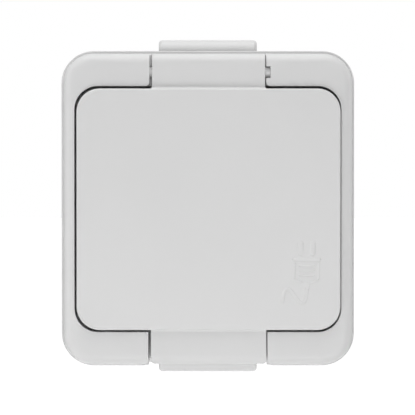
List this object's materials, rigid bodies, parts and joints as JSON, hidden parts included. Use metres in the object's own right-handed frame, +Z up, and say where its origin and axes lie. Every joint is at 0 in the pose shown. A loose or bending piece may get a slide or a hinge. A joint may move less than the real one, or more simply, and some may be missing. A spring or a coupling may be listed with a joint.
{
  "type": "outdoor weatherproof socket",
  "caption": "Surface-mounted weatherproof wall socket: shallow square box with a hinged lid over a round earthed plug recess, sealed cable entries at top and bottom.",
  "frame": {"origin": "on the wall, at the centre of the box's back face", "axes": "+X right, +Z up, +Y into the wall; the lid faces -Y"},
  "size_m": [0.0724, 0.052, 0.084],
  "materials": {
    "housing_plastic": "light grey moulded, finely eroded",
    "well_plastic": "white moulded",
    "carrier_plastic": "grey moulded",
    "grommet_rubber": "soft matte",
    "seal_rubber": "soft matte",
    "contact_brass": "rolled strip",
    "plated_strip": "nickel plated",
    "screw_steel": "zinc plated"
  },
  "bodies": {
    "housing": {"back_box": "housing_plastic", "cover_frame": "housing_plastic", "socket_well": "well_plastic", "contact_carrier": "carrier_plastic", "cable_grommet_top": "grommet_rubber", "cable_grommet_bottom": "grommet_rubber", "rim_seal": "seal_rubber", "well_gasket": "seal_rubber", "screw_seals": "seal_rubber", "live_contact": "contact_brass", "neutral_contact": "contact_brass", "live_terminal": "contact_brass", "neutral_terminal": "contact_brass", "earth_strap": "plated_strip", "earth_clamp": "plated_strip", "cover_screws": "screw_steel", "carrier_screws": "screw_steel", "terminal_screws": "screw_steel", "earth_screw": "screw_steel", "centre_screw": "screw_steel"},
    "lid": {"lid": "housing_plastic", "lid_gasket": "seal_rubber"}
  },
  "joints": [
    {"name": "lid_hinge", "type": "hinge", "parent": "housing", "child": "lid", "pos_m": [0, -0.048, 0.03375], "axis": [-1, 0, 0], "range_deg": [0, 110]}
  ]
}
